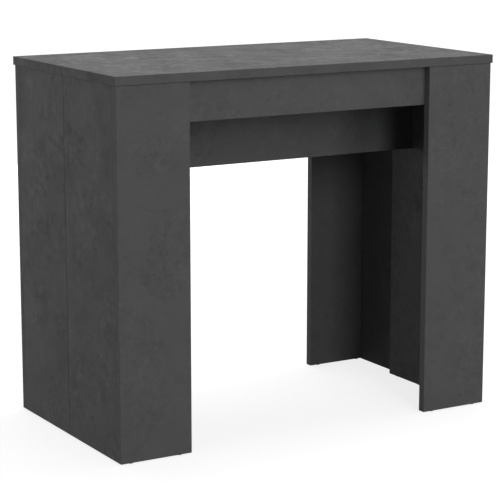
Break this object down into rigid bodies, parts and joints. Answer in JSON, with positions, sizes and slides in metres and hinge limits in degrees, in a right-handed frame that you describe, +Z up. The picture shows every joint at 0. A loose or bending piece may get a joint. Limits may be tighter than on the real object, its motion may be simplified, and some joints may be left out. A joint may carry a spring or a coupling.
{
  "type": "extendable console dining table",
  "caption": "Narrow console table on four L-shaped panel legs whose two halves slide apart on telescopic rails over a nested centre frame to make a long dining table.",
  "frame": {"origin": "on the floor under the middle of the closed table", "axes": "+X along the width, to the right seen from the front; +Y to the back; +Z up"},
  "size_m": [0.9, 0.484, 0.772],
  "materials": {
    "decor_board": "matt dark slate-grey melamine on chipboard, edges banded in the same decor",
    "rail_aluminium": "satin extruded",
    "fitting_steel": "bright zinc plated",
    "shoe_nylon": "natural moulded nylon",
    "glide_plastic": "matt moulded",
    "dowel_beech": "plain turned beech"
  },
  "bodies": {
    "centre_frame": {"centre_beam": "decor_board", "centre_brackets": "fitting_steel", "centre_dowels": "dowel_beech", "centre_glides": "glide_plastic", "centre_left_board": "decor_board", "centre_left_rail": "rail_aluminium", "centre_rail_bolts": "fitting_steel", "centre_rail_shoes": "shoe_nylon", "centre_right_board": "decor_board", "centre_right_rail": "rail_aluminium", "centre_saddle_bolts": "fitting_steel", "centre_saddle_nuts": "fitting_steel", "centre_saddles": "fitting_steel", "centre_screws": "fitting_steel"},
    "back_half": {"back_apron": "decor_board", "back_apron_screws": "fitting_steel", "back_brackets": "fitting_steel", "back_dowels": "dowel_beech", "back_glides": "glide_plastic", "back_hanger_bolts": "fitting_steel", "back_hangers": "fitting_steel", "back_left_leg_face": "decor_board", "back_left_leg_side": "decor_board", "back_left_rail": "rail_aluminium", "back_rail_shoes": "shoe_nylon", "back_right_leg_face": "decor_board", "back_right_leg_side": "decor_board", "back_right_rail": "rail_aluminium", "back_screws": "fitting_steel", "back_top": "decor_board"},
    "front_half": {"front_apron": "decor_board", "front_apron_screws": "fitting_steel", "front_brackets": "fitting_steel", "front_dowels": "dowel_beech", "front_glides": "glide_plastic", "front_hanger_bolts": "fitting_steel", "front_hangers": "fitting_steel", "front_left_leg_face": "decor_board", "front_left_leg_side": "decor_board", "front_left_rail": "rail_aluminium", "front_rail_shoes": "shoe_nylon", "front_right_leg_face": "decor_board", "front_right_leg_side": "decor_board", "front_right_rail": "rail_aluminium", "front_screws": "fitting_steel", "front_seam_pegs": "dowel_beech", "front_top": "decor_board"},
    "back_inner_stage": {"back_inner_left_rail": "rail_aluminium", "back_inner_rail_shoes": "shoe_nylon", "back_inner_right_rail": "rail_aluminium"},
    "back_outer_stage": {"back_outer_left_rail": "rail_aluminium", "back_outer_rail_shoes": "shoe_nylon", "back_outer_right_rail": "rail_aluminium"},
    "front_inner_stage": {"front_inner_left_rail": "rail_aluminium", "front_inner_rail_shoes": "shoe_nylon", "front_inner_right_rail": "rail_aluminium"},
    "front_outer_stage": {"front_outer_left_rail": "rail_aluminium", "front_outer_rail_shoes": "shoe_nylon", "front_outer_right_rail": "rail_aluminium"}
  },
  "joints": [
    {"name": "back_extension", "type": "slide", "parent": "centre_frame", "child": "back_half", "axis": [0, 1, 0], "range_m": [0, 0.945]},
    {"name": "front_extension", "type": "slide", "parent": "centre_frame", "child": "front_half", "axis": [0, -1, 0], "range_m": [0, 0.945]},
    {"name": "back_inner_slide", "type": "slide", "parent": "centre_frame", "child": "back_inner_stage", "axis": [0, 1, 0], "range_m": [0, 0.315]},
    {"name": "back_outer_slide", "type": "slide", "parent": "centre_frame", "child": "back_outer_stage", "axis": [0, 1, 0], "range_m": [0, 0.63]},
    {"name": "front_inner_slide", "type": "slide", "parent": "centre_frame", "child": "front_inner_stage", "axis": [0, -1, 0], "range_m": [0, 0.315]},
    {"name": "front_outer_slide", "type": "slide", "parent": "centre_frame", "child": "front_outer_stage", "axis": [0, -1, 0], "range_m": [0, 0.63]}
  ],
  "couplings": [
    {"joint": "back_inner_slide", "follows": "back_extension", "ratio": 0.33333},
    {"joint": "back_outer_slide", "follows": "back_extension", "ratio": 0.66667},
    {"joint": "front_inner_slide", "follows": "front_extension", "ratio": 0.33333},
    {"joint": "front_outer_slide", "follows": "front_extension", "ratio": 0.66667}
  ]
}
